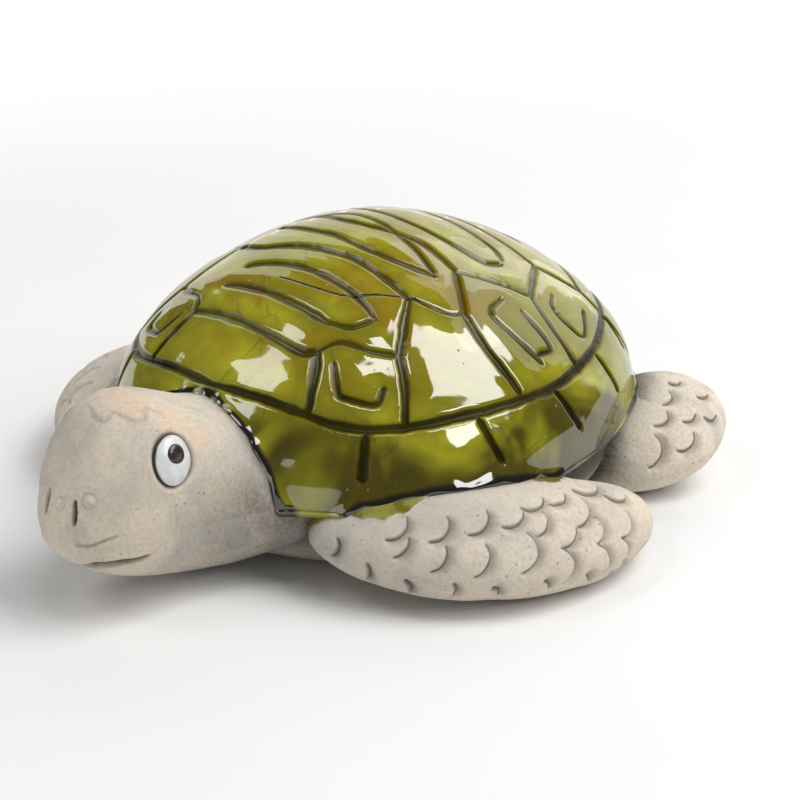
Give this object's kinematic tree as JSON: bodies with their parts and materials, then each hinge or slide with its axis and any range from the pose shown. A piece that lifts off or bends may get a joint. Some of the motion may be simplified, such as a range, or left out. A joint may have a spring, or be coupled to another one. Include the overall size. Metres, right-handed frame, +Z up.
{
  "type": "turtle figurine",
  "caption": "Ceramic sea turtle ornament with a scored and glazed domed shell, bare clay head and spread flippers, that rests on its flat belly.",
  "frame": {"origin": "on the belly's flat resting face, under the middle of the shell", "axes": "+Z up, -Y towards the head, +X towards the turtle's left side"},
  "size_m": [0.1356, 0.1535, 0.0559],
  "materials": {
    "glaze": "glossy olive glaze, darker in the scored lines",
    "clay": "matt bare clay, fired, with pressed scales",
    "eye_white": "glossy white glaze",
    "pupil": "glossy dark brown glaze"
  },
  "bodies": {
    "root": {"carapace": "glaze", "plastron": "clay", "head": "clay", "front_flipper_left": "clay", "front_flipper_right": "clay", "rear_flipper_left": "clay", "rear_flipper_right": "clay", "tail": "clay", "eye_left": "eye_white", "eye_right": "eye_white", "pupil_left": "pupil", "pupil_right": "pupil"}
  },
  "joints": []
}
